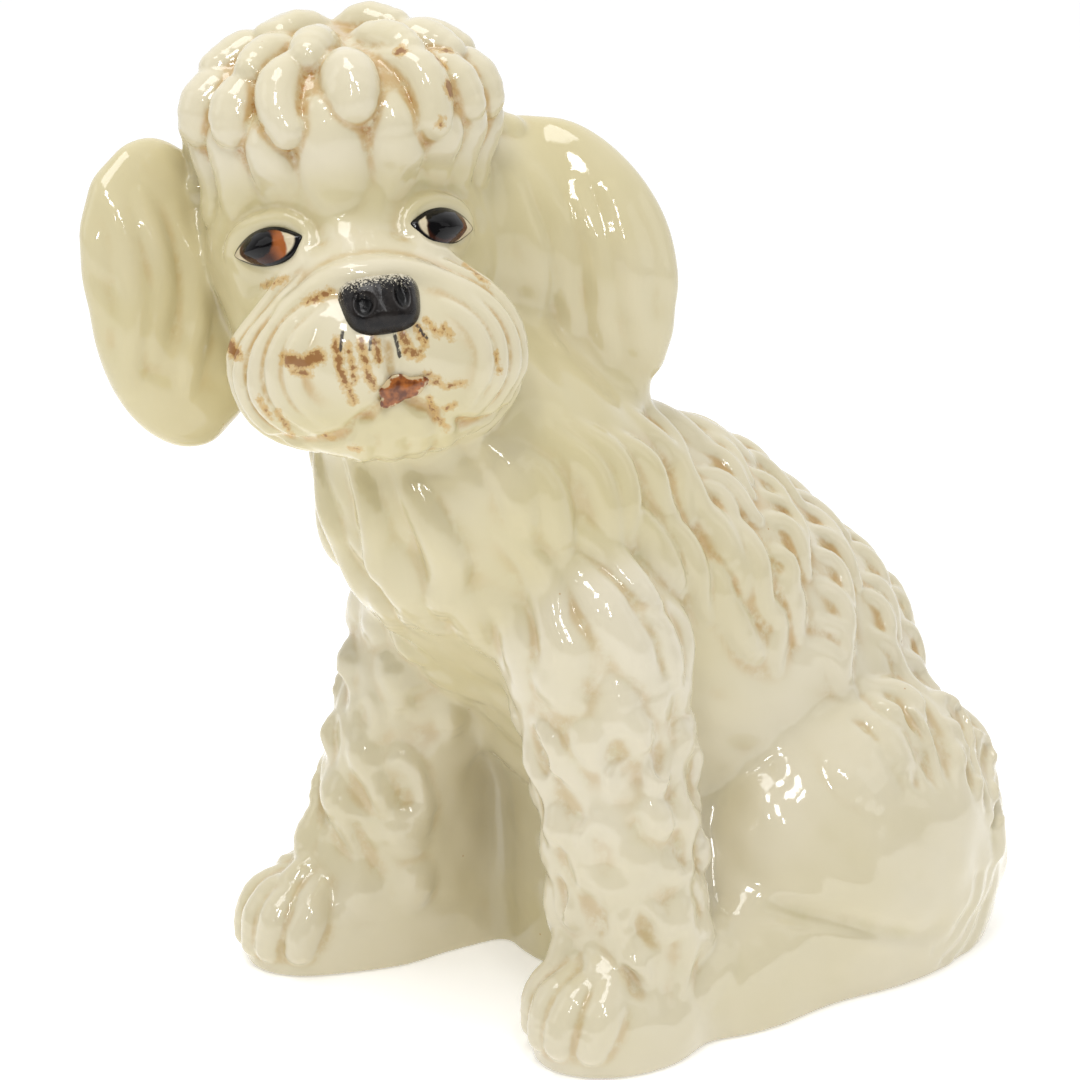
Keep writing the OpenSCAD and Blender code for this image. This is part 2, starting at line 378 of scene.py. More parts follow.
def spin(d, n, degrees):
    """Direction d turned about the axis n."""
    a = radians(degrees)
    return d * cos(a) + np.cross(n, d) * sin(a) + n * (n @ d) * (1 - cos(a))


def on_crown(around, down):
    """A point on the topknot: around from the front to the head's left, down from the crown.
    Returns it with the direction that leads down and the one that leads outward."""
    a, d = radians(around), radians(down)
    radii = CROWN["radii"]
    way = np.array([sin(d) * sin(a), -sin(d) * cos(a), cos(d)])
    fall = np.array([cos(d) * sin(a), -cos(d) * cos(a), -sin(d)])
    p = from_head(*(np.array(CROWN["centre"]) + way * radii))
    return p, HEAD @ (fall * radii / 60), HEAD @ way


# around, down, heading (+ to the head's left), length, width, bend
FRONT_LOCKS = [
    (-82, 82, -8, 34, 21, 6), (-60, 82, -6, 33, 22, 8), (-37, 76, -4, 40, 21, 6),
    (-12, 80, 0, 34, 27, 0), (13, 82, 8, 32, 23, -8), (33, 82, 12, 32, 20, -6),
    (52, 80, 10, 33, 22, -10), (74, 80, 6, 34, 22, -8),
    (-72, 52, -14, 22, 21, 10), (-50, 54, -20, 22, 21, 24), (-18, 42, -66, 40, 19, 84),
    (-2, 46, 2, 24, 23, 0), (16, 44, 62, 40, 20, -66), (44, 54, 24, 23, 20, -20),
    (64, 54, 12, 22, 21, -10),
    (-74, 24, -20, 24, 20, 20), (-42, 26, -30, 25, 19, 30), (-14, 24, -16, 22, 20, 10),
    (18, 24, 40, 26, 20, -30), (48, 26, 30, 26, 20, -24), (78, 26, 10, 24, 20, -10),
    (-100, 4, 30, 24, 20, 20), (-30, 5, -50, 22, 19, 30), (36, 5, 40, 22, 20, -20),
]


def sculpt_topknot():
    """Staggered rows of broad hanging lobes, the lowest row softest."""
    for around, down, heading, length, width, bend in FRONT_LOCKS:
        p, fall, way = on_crown(around, down)
        low_row = down > 60
        lock(p, spin(fall, way, heading), length, width, 6.5 if low_row else 9.5, bend,
             k=1.2, root=0.0, tip=0.6 if low_row else 0.95, taper=0.2)
    for down, count in ((24, 5), (48, 8), (74, 10), (100, 9)):
        for i in range(count):
            edge = 92 if down < 90 else 112     # the lowest row leaves room for the ears
            around = edge + (i + 0.5) * (360 - 2 * edge) / count + rng.uniform(-4, 4)
            p, fall, way = on_crown(around, down + rng.uniform(-4, 4))
            lock(p, spin(fall, way, rng.uniform(-30, 30)), rng.uniform(26, 34),
                 rng.uniform(20, 24), 8.5, rng.uniform(-35, 35), k=1.6, root=0.0, tip=0.7,
                 taper=0.2)


def on_muzzle(out, around):
    """A point on the muzzle: out from its front pole, around from the head's left upward."""
    o, a = radians(out), radians(around)
    way = np.array([sin(o) * cos(a), -cos(o), sin(o) * sin(a)])
    return from_head(*(np.array(MUZZLE["centre"]) + way * MUZZLE["radii"]))


def trace(points, width, rise, **shape):
    """A ridge through points near the surface."""
    path, normals = settled(points)
    lay(path, normals, width, rise, **shape)


def sculpt_muzzle():
    """A smooth roll over the nose, nested strands round both sides, two lobes over the chin."""
    for side in (1, -1):
        for row, out in enumerate((92, 78, 65, 54, 44)):
            around = np.linspace(62 - 3 * row, -58 + row * 5, 15)
            points = [on_muzzle(out, a if side > 0 else 180 - a) for a in around]
            trace(points, 9.5, 5.4 - 0.6 * row, k=1.1, root=0.2, tip=0.2, fat=0.45, taper=0.2)
    roll = [on_face(x, -7 - 18 * (x / 44) ** 2) for x in np.linspace(-46, 46, 17)]
    trace(roll, 14, 4.2, k=2.5, root=0.3, tip=0.3, fat=0.5)
    for side in (1, -1):
        lobe_edge = [on_face(3 + side * x, z) for x, z in
                     ((1, -53), (9, -60), (19, -67), (30, -70), (42, -66))]
        trace(lobe_edge, 7, 2.6, k=3, root=0.3, tip=0, fat=0.4, carve=True)
    for x, wide in ((-12, 10), (-1, 12), (10, 11), (20, 9)):
        rib = [on_face(2 + x, z) for z in (-66, -71, -76, -80)]
        trace(rib, wide, 2.6, k=2.5, root=0.2, tip=0.5)
    cleft = [on_face(2, z) for z in (-33, -39, -45, -51)]
    trace(cleft, 4, 1.6, k=2, root=0.5, tip=0.5, carve=True)


BEFORE_FACE = -110      # where the search for the face starts, in the head's own frame


def on_face(x, z):
    """The point of the smooth form straight in front of the head at x, z."""
    p, way = from_head(x, BEFORE_FACE, z), HEAD @ (0, 1, 0)
    for _ in range(40):
        p = p + way * probe(p)[0] * 0.8
    return p


EYE_HALF_W, EYE_HALF_H = 11.3, 7.4


def eye_rim(side, grow, spread=1.0):
    """Points round an eye, from the inner corner over the top to the outer corner."""
    ring = []
    for a in np.radians(np.linspace(180, 0, 13)):
        x = cos(a) * (EYE_HALF_W + grow) * spread
        z = sin(a) * (EYE_HALF_H + grow) - 1.5 * cos(a)
        ring.append(on_face(side * (EYE_X + x), EYE_Z + z))
    return ring


def sculpt_face():
    """Eyelids: a thin fold over each eye with a shallow hollow above it, and a lower lid."""
    for side in (1, -1):
        trace(eye_rim(side, 8.5, 0.9), 9, 1.5, k=6, root=0, tip=0, fat=0.5, carve=True)
        trace(eye_rim(side, 3.4), 5, 1.5, k=3, root=0, tip=0, fat=0.5)
        under = []
        for a in np.radians(np.linspace(190, 350, 11)):
            x = cos(a) * (EYE_HALF_W + 1)
            z = sin(a) * (EYE_HALF_H + 2.2) - 1.5 * cos(a)
            under.append(on_face(side * (EYE_X + x), EYE_Z + z))
        trace(under, 4.5, 0.8, k=3, root=0, tip=0, fat=0.5)


def sculpt_ears():
    """Long soft ridges down each flap."""
    for side, xs, y, top in ((-1, (-88, -76, -64), -10, 30), (1, (72, 84, 97, 110), -12, 22)):
        for i, x in enumerate(xs):
            z = top - 6 * abs(i - 1)
            lock(from_head(x, y, z), HEAD @ (0, 0, -1), 72 - 8 * (i % 2), 14, 4.2 if side < 0 else 3.2,
                 bend=side * 8, sway=9, k=3, root=0, tip=0.2, fat=0.5)
            lock(from_head(x, 40, z), HEAD @ (0, 0, -1), 66, 14, 3.0,
                 bend=-side * 8, sway=6, k=5, root=0, tip=0.2, fat=0.5)


def sculpt_chest():
    """Wide wavy locks that hang from the neck over the chest and shoulders."""
    rows = ((262, 70, 21, 62, 176), (226, 84, 19, 60, 142), (192, 90, 16, 46, 126))
    for z, reach, count, length, spread in rows:
        for i in range(count):
            around = spread * (2 * (i + 0.5) / count - 1) + rng.uniform(-4, 4)
            a = radians(around)
            p = np.array([reach * sin(a), -62 - reach * cos(a), z + rng.uniform(-8, 8)])
            heading = (0.35 * sin(a), 0.5 * abs(sin(a)), -1)
            lock(p, heading, length * rng.uniform(0.8, 1.15), rng.uniform(15, 20),
                 6.0 if z > 200 else 4.4, bend=rng.uniform(-25, 25), sway=rng.uniform(14, 26),
                 k=2.0, root=0, tip=0.4)


def sculpt_back():
    """Tiers of slender hooked curls down the back and flanks."""
    tiers = ((-14, 200, 62), (16, 182, 74), (44, 160, 80), (72, 130, 82), (98, 96, 84), (112, 66, 82))
    for row, (y, z, spread) in enumerate(tiers):
        count = 19
        for i in range(count):
            lean = -100 + 200 * (i + 0.5) / count + rng.uniform(-2, 2)
            a = radians(lean)
            out = np.array([sin(a), 0.55 * cos(a), 0.84 * cos(a)])
            p = np.array([0, y, z]) + out * (spread + 20)
            p = p + (0, rng.uniform(-4, 4), rng.uniform(-4, 4))
            heading = np.array([0.35 * sin(a), 0.8, -0.75])
            side = 1 if lean > 0 else -1
            low_down = (abs(lean) / 100) ** 3
            rise = 5.6 - 2.6 * low_down - 2.6 * math.exp(-(lean / 26) ** 2)
            lock(p, heading, rng.uniform(30, 42), rng.uniform(10, 13), rise,
                 bend=-side * rng.uniform(10, 50), sway=side * rng.uniform(18, 34),
                 k=1.3 + 2 * low_down, root=0.05, tip=0.6 - 0.5 * low_down)


def sculpt_haunches():
    """Grooves that fan up and back over each thigh, faint swirls low down, and the foot's crease."""
    for side in (1, -1):
        centre = np.array([side * 100, 74, 40.0])
        for reach, length, count in ((60, 18, 6), (74, 26, 8), (90, 22, 8)):
            for angle in np.linspace(84, 158, count):
                a = radians(angle + rng.uniform(-4, 4))
                way = np.array([0, -cos(a), sin(a)])
                p = centre + way * reach * (1, 0.92, 0.84) + (side * 30, 0, 0)
                lock(p, way - (side * 0.3, 0, 0), length * rng.uniform(0.7, 1.3),
                     rng.uniform(5.5, 8.5), rng.uniform(1.4, 2.9), bend=side * rng.uniform(0, 40),
                     sway=side * 12, k=3, root=0.1, tip=0.1, fat=0.5, carve=True)
        for angle in (58, 70, 82):
            a = radians(angle)
            p = centre + np.array([side * 30, -cos(a) * 62, sin(a) * 62])
            lock(p, (-side * 0.3, -cos(a), sin(a)), 22, 15, 3, k=4, root=0.2, tip=0.2,
                 fat=0.5)
        for reach in (34, 45, 56):
            arc = [centre + (side * 30, -reach * cos(a), reach * sin(a) * 0.8)
                   for a in np.radians(np.linspace(-60 - reach, -175, 12))]
            trace(arc, 6, 1.1, k=4, root=0.1, tip=0.1, fat=0.5, carve=True)
        crease = [(side * x, y, z) for x, y, z in
                  ((104, -34, 56), (116, -8, 52), (126, 16, 42), (132, 42, 30), (134, 66, 22))]
        trace(crease, 10, 3.0, k=4, root=0.3, tip=0, fat=0.35, carve=True)


def around_leg(side, share, around):
    """A point by a foreleg: share of the way down it, around from the front outward."""
    leg = LEGS[side]
    (wx, wy), (tx, ty) = leg["wrist"], leg["top"]
    axis = np.array([side * (tx + (wx - tx) * share), ty + (wy - ty) * share,
                     LEG_TOP - 128 * share])
    a = radians(around)
    return axis + 36 * np.array([side * sin(a), -cos(a), 0])


def sculpt_forelegs():
    """Knobbly curls of many sizes with slanted dimples between them."""
    for side in (1, -1):
        for row in range(7):
            for i in range(6):
                around = -70 + 40 * i + (20 if row % 2 else 0) + rng.uniform(-10, 10)
                p = around_leg(side, 0.05 + row * 0.145 + rng.uniform(-0.04, 0.04), around)
                heading = (rng.uniform(0, 0.8), 0, -1)
                lock(p, heading, rng.uniform(9, 24), rng.uniform(13, 21), rng.uniform(2.8, 6.4),
                     bend=rng.uniform(-50, 50), k=3, root=0.2, tip=0.3, fat=0.5)
        for row in range(5):
            for i in range(4):
                around = -50 + 48 * i + (24 if row % 2 else 0) + rng.uniform(-16, 16)
                p = around_leg(side, 0.28 + row * 0.16 + rng.uniform(-0.06, 0.06), around)
                lock(p, (rng.uniform(0.2, 0.9), 0, -1), rng.uniform(8, 18), rng.uniform(5, 8),
                     rng.uniform(0.3, 1.5), bend=rng.uniform(-30, 30), k=4, root=0.1, tip=0.1,
                     fat=0.5, carve=True)


def sculpt_paws():
    for side in (1, -1):
        px, py = LEGS[side]["paw"]
        for i in range(4):
            a = radians(-42 + 28 * i)
            start = np.array([side * px + 24 * sin(a), py - 26 * cos(a), 44])
            lock(start, (0.4 * sin(a), -cos(a), -1), 34, 17, 6.0, k=1.5, root=0, tip=0.8,
                 taper=0.2)
        for i in range(3):
            a = radians(-40 + 40 * i)
            start = np.array([side * 92 + 12 * sin(a), -18 - 14 * cos(a), 46])
            lock(start, (sin(a), -cos(a), -0.5), 30, 20, 3.5, k=3, root=0, tip=0.7)


def sculpt_tail():
    for a in np.linspace(0, 300, 6):
        way = np.array([cos(radians(a)), 0, sin(radians(a))])
        p = (TAIL_LO + TAIL_HI) / 2 + (0, 12, 0) + way * 6
        lock(p, way + (0, -0.2, 0), 22, 12, 3.5, bend=50, k=1.8, root=0.3, tip=0.6)


for job in (sculpt_chest, sculpt_back, sculpt_haunches, sculpt_forelegs, sculpt_paws, sculpt_tail,
            sculpt_ears, sculpt_topknot, sculpt_face, sculpt_muzzle):
    job()

FLOOR_GAP = 0.2     # how far the glaze stays clear of the ground
heights = GRID_LO[2] + CELL * np.arange(field.shape[2], dtype=np.float32)
field[:] = smax(field, (FLOOR_GAP - heights)[None, None, :], 1.5)


# ---- mesh of the glazed surface

def skin():
    """Points and quads of the sculpted surface."""
    grid = openvdb.FloatGrid(BAND)
    grid.copyFromArray(np.clip(field, -BAND, BAND))
    points, quads = grid.convertToQuads(0.0)
    return points.astype(float) * CELL + GRID_LO, quads[:, ::-1].astype(int)


def smooth_over_edges(values, edges, rounds):
    """Mean of each value with its neighbours, again and again."""
    n = len(values)
    ends = np.concatenate([edges[:, 0], edges[:, 1]])
    others = np.concatenate([edges[:, 1], edges[:, 0]])
    count = np.maximum(np.bincount(ends, minlength=n), 1)
    for _ in range(rounds):
        near = np.bincount(ends, weights=values[others], minlength=n) / count
        values = 0.4 * values + 0.6 * near
    return values


def unevenness(p):
    """Small hand-worked waves of the surface, in mm."""
    total = np.zeros(len(p))
    for wave in np.geomspace(14, 60, 12):
        way = rng.normal(size=3)
        way *= 2 * math.pi / wave / np.linalg.norm(way)
        total += 0.008 * wave * np.sin(p @ way + rng.uniform(0, 6.3))
    return total


SMOOTH_ROUNDS = int(60 * (1.25 / CELL) ** 2)    # the same reach on a fine and a coarse grid
EVEN_BELOW = 20     # height over which the waves fade out towards the ground
points, quads = skin()
points += outward(points) * (unevenness(points) * np.clip(points[:, 2] / EVEN_BELOW, 0, 1))[:, None]
sides = np.concatenate([quads[:, [i, (i + 1) % 4]] for i in range(4)])
edges = np.unique(np.sort(sides, axis=1), axis=0)
height = sample(points)
cavity = smooth_over_edges(height, edges, SMOOTH_ROUNDS) - height
fields = forms(points.astype(np.float32))
names = list(fields)
owner = np.argmin(np.stack([fields[n] for n in names]), axis=0)
face_owner = np.sort(owner[quads], axis=1)[:, 1]


# ---- paint on the glaze

# points in the plane of the face (x to the head's left, z up), then the half width of the brush
BROWN_STROKES = [
    ([(-35, -36), (-30, -38), (-24, -36)], 2.6), ([(-34, -41), (-28, -42)], 1.2),
    ([(-25, -16), (-16, -13)], 1.4), ([(-38, -10), (-30, -7)], 0.8), ([(-56, -26), (-53, -33)], 2.2),
    ([(-17, -31), (-17, -42), (-13, -54)], 1.5), ([(-13, -33), (-12, -46)], 1.1),
    ([(-8, -32), (-7, -44), (-5, -50)], 1.5), ([(-3, -31), (-2, -40)], 1.4),
    ([(8, -31), (9, -38), (13, -40)], 1.8), ([(14, -29), (16, -36)], 1.4),
    ([(18, -28), (22, -33), (25, -31), (27, -35)], 1.2),
    ([(13, -49), (22, -53), (30, -53)], 0.8), ([(15, -47), (20, -50)], 0.8),
    ([(16, -57), (18, -64), (22, -70)], 0.9), ([(22, -62), (25, -61)], 1.0),
    ([(-15, -73), (-12, -74)], 0.7), ([(-24, -67), (-21, -69)], 0.7),
    ([(-41, -56), (-36, -66)], 0.7), ([(-47, -50), (-44, -58)], 0.6),
    ([(40, -10), (46, -18)], 0.6), ([(44, -44), (45, -52)], 0.5),
]
INK_STROKES = [([(-14, -28), (-16, -35)], 0.5), ([(-4, -31), (-5, -36)], 0.4),
               ([(5, -31), (6, -40)], 0.6), ([(14, -29), (17, -34)], 0.5)]
# around and down on the topknot, and the half width
CROWN_CHIPS = [(4, 36, 2.0), (22, 56, 0.8), (36, 66, 1.8), (46, 58, 1.0), (34, 80, 2.4), (28, 96, 0.8),
               (-36, 90, 0.4)]


def distance_to_path(p, path):
    """Distance of points to a polyline."""
    best = np.full(len(p), 1e3)
    for a, b in zip(path[:-1], path[1:]):
        along = b - a
        t = np.clip((p - a) @ along / max(along @ along, 1e-9), 0, 1)
        best = np.minimum(best, np.linalg.norm(p - a - t[:, None] * along, axis=1))
    return best


def paint_distance(p, strokes):
    """Distance in the plane of the face to the nearest brush stroke's edge, negative inside."""
    best = np.full(len(p), 1e3)
    for line, half in strokes:
        best = np.minimum(best, distance_to_path(p[:, [0, 2]], np.array(line, float)) - half)
    return best


head_points = (points - HEAD_AT) @ HEAD
on_front = (np.linalg.norm(head_points, axis=1) < 150) & (head_points[:, 1] < -45)
brown = np.full(len(points), 50.0)
ink = np.full(len(points), 50.0)
brown[on_front] = paint_distance(head_points[on_front], BROWN_STROKES)
ink[on_front] = paint_distance(head_points[on_front], INK_STROKES)
for around, down, half in CROWN_CHIPS:
    spot, normal = settle(on_crown(around, down)[0])
    brown = np.minimum(brown, np.linalg.norm(points - spot - 6 * normal, axis=1) - half - 2)


def step_up(x, lo, hi):
    t = np.clip((x - lo) / (hi - lo), 0, 1)
    return t * t * (3 - 2 * t)


def on_castings(**values):
    """A value for each point from the casting it belongs to. A pair is named once."""
    return np.array([values.get(n, values.get(n.split("_")[-1])) for n in names])[owner]


in_torso, in_muzzle = owner == names.index("torso_shell"), owner == names.index("muzzle")
in_thigh = (owner == names.index("left_haunch")) | (owner == names.index("right_haunch"))
wash = on_castings(torso_shell=1.0, tail_tuft=0.8, left_foreleg=0.55, right_foreleg=0.5, haunch=0.6,
                   head_shell=0.15, topknot=0.95, muzzle=1.0, left_ear=0.25, right_ear=0.45)
wash[in_torso] *= 0.3 + 0.7 * step_up(points[in_torso, 1], -60, 0)
wash[in_thigh] *= 0.1 + 0.9 * step_up(points[in_thigh, 2], 55, 95)
wash = smooth_over_edges(wash, edges, SMOOTH_ROUNDS)
# Cream tint of each casting: partly the glaze's own tint from casting to casting, partly painted shade
# that darkens the head, the chest under it, the chin and the haunches
tint_and_painted_shade = on_castings(torso_shell=0.5, tail_tuft=0.4, left_foreleg=0.15, right_foreleg=0.35, haunch=0.28,
                   head_shell=0.9, topknot=0.3, muzzle=0.3, left_ear=0.7, right_ear=0.8)
# painted shade: the chest under the head darker, the back lighter
tint_and_painted_shade[in_torso] += 0.25 - 0.5 * step_up(points[in_torso, 1], -60, 40)
# painted shade: the muzzle darker towards the chin
tint_and_painted_shade[in_muzzle] += 0.6 * step_up(-head_points[in_muzzle, 2], 48, 66)
tint_and_painted_shade = smooth_over_edges(tint_and_painted_shade, edges, SMOOTH_ROUNDS)


# ---- pieces

def mesh_object(name, verts, faces, material, normals=None, **attributes):
    """A mesh object in metres with smooth shading and float attributes on its points."""
    mesh = bpy.data.meshes.new(name)
    mesh.from_pydata((np.asarray(verts) * MM).tolist(), [], [list(f) for f in faces])
    mesh.polygons.foreach_set("use_smooth", [True] * len(mesh.polygons))
    for key, values in attributes.items():
        attribute = mesh.attributes.new(key, "FLOAT", "POINT")
        attribute.data.foreach_set("value", np.asarray(values, np.float32))
    if normals is not None:
        mesh.normals_split_custom_set_from_vertices(normals.tolist())
    mesh.materials.append(material)
    mesh.update()
    piece = bpy.data.objects.new(name, mesh)
    bpy.context.scene.collection.objects.link(piece)
    return piece


def vertex_normals(p, q):
    """Unit normals of a quad mesh at its points."""
    across = np.cross(p[q[:, 2]] - p[q[:, 0]], p[q[:, 3]] - p[q[:, 1]])
    total = np.stack([sum(np.bincount(q[:, c], weights=across[:, i], minlength=len(p))
                          for c in range(4)) for i in range(3)], 1)
    return total / np.maximum(np.linalg.norm(total, axis=1, keepdims=True), 1e-12)


VENT_CLEAR = 12      # radius round the vent with no glaze


def plate_cover(p):
    """Which points lie under the closing plate or its vent, clear of the plate's edge."""
    plate = frame["nodes"]["base_plate"]
    tree = BVHTree.FromPolygons([v.co / MM for v in plate.data.vertices],
                                [tuple(f.vertices) for f in plate.data.polygons])
    lo, hi = box("base_plate")
    centre = (lo + hi) / 2
    covered = np.zeros(len(p), bool)
    low = np.nonzero((p[:, 2] < 1) & np.all(p[:, :2] > lo[:2], 1) & np.all(p[:, :2] < hi[:2], 1))[0]
    for i in low:
        x, y = p[i, :2]
        ring = ((2, 0), (-2, 0), (0, 2), (0, -2))
        near_vent = math.hypot(x - centre[0], y - centre[1]) < VENT_CLEAR
        covered[i] = near_vent or all(
            tree.ray_cast(Vector((x + dx, y + dy, -10)), Vector((0, 0, 1)), 12)[0] for dx, dy in ring)
    return covered


normals = vertex_normals(points, quads)
out_of_form = outward(points)
if np.mean(np.sum(normals * out_of_form, 1)) < 0:
    quads, normals = quads[:, ::-1], -normals
inner = points - out_of_form * (height + GLAZE_WALL)[:, None]
inner[:, 2] = np.maximum(inner[:, 2], FLOOR_GAP)
open_face = np.all(plate_cover(points)[quads], axis=1)


def shell(name, material):
    """The glazed casting that a CAD node stands for: its outer skin, inner skin and rims."""
    mine = quads[(face_owner == names.index(name)) & ~open_face]
    used, q = np.unique(mine, return_inverse=True)
    q = q.reshape(mine.shape)
    n = len(used)
    forward = np.concatenate([q[:, [i, (i + 1) % 4]] for i in range(4)])
    key = forward[:, 0] * n + forward[:, 1]
    twin = forward[:, 1] * n + forward[:, 0]
    rim = forward[~np.isin(key, twin)]
    rims = np.stack([rim[:, 1], rim[:, 0], rim[:, 0] + n, rim[:, 1] + n], 1)
    faces = np.concatenate([q, q[:, ::-1] + n, rims])
    verts = np.concatenate([points[used], inner[used]])
    both = np.concatenate([normals[used], -normals[used]])
    values = {key: np.tile(v[used], 2) for key, v in
              dict(cavity=cavity, wash=wash, tint_and_painted_shade=tint_and_painted_shade, brown=brown, ink=ink).items()}
    piece = mesh_object(name + "_glazed", verts, faces, material, both, **values)
    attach(piece, "root")
    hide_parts(name)


PATCH_DEPTH = 3      # how far an eye, the nose or the lips are let into the face


def patch(name, node, material, at, outline, dome, rings, spokes):
    """A small domed piece let into the face. outline(angle) gives its edge and dome(x, z, r) its
    height over the smooth form, where r runs from 0 in the middle to 1 at the edge."""
    flat = [(0.0, 0.0, 0.0)]
    for i in range(1, rings + 1):
        r = i / rings
        for j in range(spokes):
            u, v = outline(2 * math.pi * j / spokes)
            flat.append((u * r, v * r, r))
    front, back = [], []
    for u, v, r in flat:
        p, n = settle(on_face(at[0] + u, at[1] + v))
        front.append(p + n * dome(u, v, r))
        back.append(p - n * PATCH_DEPTH)
    count = len(flat)
    ring = lambda i, j: 1 + (i - 1) * spokes + j % spokes
    faces = []
    for j in range(spokes):
        faces.append((0, ring(1, j), ring(1, j + 1)))
        for i in range(1, rings):
            faces.append((ring(i, j), ring(i + 1, j), ring(i + 1, j + 1), ring(i, j + 1)))
        edge, following = ring(rings, j), ring(rings, j + 1)
        faces.append((edge, edge + count, following + count, following))
    faces += [tuple(v + count for v in reversed(f)) for f in faces if max(f) < count]
    u, v, r = (np.tile(np.array(column), 2) for column in zip(*flat))
    verts = np.array(front + back)
    facing = np.cross(verts[faces[1][1]] - verts[faces[1][0]], verts[faces[1][2]] - verts[faces[1][0]])
    if facing @ (HEAD @ (0, -1, 0)) < 0:
        faces = [tuple(reversed(f)) for f in faces]
    piece = mesh_object(name, verts, faces, material, across=u, up=v, rim=r)
    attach(piece, "root")
    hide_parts(node)


# ---- materials

def linear(red, green, blue):
    """A colour from 0-255 display values, as the shader needs it."""
    curve = lambda c: c / 12.92 if c <= 0.04045 else ((c + 0.055) / 1.055) ** 2.4
    return (*(curve(c / 255) for c in (red, green, blue)), 1.0)


class Shader:
    """Builds a node material. Inputs may be sockets or plain values."""

    def __init__(self, name):
        self.material = bpy.data.materials.new(name)
        self.material.use_nodes = True
        self.tree = self.material.node_tree
        self.surface = self.tree.nodes["Principled BSDF"]
        where = self.node("ShaderNodeTexCoord").outputs["Object"]
        scaled = self.node("ShaderNodeVectorMath", operation="SCALE")
        self.put(scaled.inputs[0], where)
        scaled.inputs["Scale"].default_value = 1 / MM
        self.place = scaled.outputs[0]

    def node(self, kind, **settings):
        made = self.tree.nodes.new(kind)
        for key, value in settings.items():
            setattr(made, key, value)
        return made

    def put(self, socket, value):
        if isinstance(value, bpy.types.NodeSocket):
            self.tree.links.new(value, socket)
        else:
            socket.default_value = value

    def math(self, operation, *values):
        made = self.node("ShaderNodeMath", operation=operation)
        for socket, value in zip(made.inputs, values):
            self.put(socket, value)
        return made.outputs[0]

    def mix(self, share, first, second):
        made = self.node("ShaderNodeMix", data_type="RGBA")
        self.put(made.inputs[0], share)
        self.put(made.inputs[6], first)
        self.put(made.inputs[7], second)
        return made.outputs[2]

    def rise(self, value, lo, hi, top=1.0):
        """0 at lo, rising smoothly to top at hi."""
        made = self.node("ShaderNodeMapRange", interpolation_type="SMOOTHSTEP")
        for socket, number in zip(made.inputs, (value, lo, hi, 0.0, top)):
            self.put(socket, number)
        return made.outputs[0]

    def noise(self, size, detail=2.0, roughness=0.5):
        """Soft noise from 0 to 1 with spots of about that size in mm."""
        made = self.node("ShaderNodeTexNoise")
        self.put(made.inputs["Vector"], self.place)
        made.inputs["Scale"].default_value = 1 / size
        made.inputs["Detail"].default_value = detail
        made.inputs["Roughness"].default_value = roughness
        return made.outputs[0]

    def dots(self, spacing, size, share):
        """Small round specks, spacing mm apart, on that share of the places."""
        made = self.node("ShaderNodeTexVoronoi")
        self.put(made.inputs["Vector"], self.place)
        made.inputs["Scale"].default_value = 1 / spacing
        chosen = self.math("LESS_THAN", self.channel(made.outputs["Color"]), share)
        near = self.rise(made.outputs["Distance"], size / spacing, 0.4 * size / spacing)
        return self.math("MULTIPLY", chosen, near)

    def channel(self, colour):
        made = self.node("ShaderNodeSeparateColor")
        self.put(made.inputs[0], colour)
        return made.outputs[0]

    def attribute(self, name):
        return self.node("ShaderNodeAttribute", attribute_name=name).outputs["Fac"]

    def bump(self, height, depth):
        """Relief of that depth in mm from a height of 0 to 1."""
        made = self.node("ShaderNodeBump")
        made.inputs["Distance"].default_value = depth * MM
        self.put(made.inputs["Height"], height)
        self.put(self.surface.inputs["Normal"], made.outputs[0])

    def finish(self, colour, roughness, coat=0.0, specular=0.5):
        self.put(self.surface.inputs["Base Color"], colour)
        self.put(self.surface.inputs["Roughness"], roughness)
        self.surface.inputs["IOR"].default_value = 1.52
        self.surface.inputs["Specular IOR Level"].default_value = specular
        self.surface.inputs["Coat Weight"].default_value = coat
        self.surface.inputs["Coat Roughness"].default_value = 0.03
        return self.material


IVORY, CREAM = linear(219, 211, 190), linear(204, 193, 152)
POOL, TAN = linear(188, 180, 130), linear(188, 154, 98)
BROWN, UMBER = linear(170, 114, 42), linear(124, 68, 0)
GOLD = linear(194, 156, 84)
INK = linear(38, 36, 40)


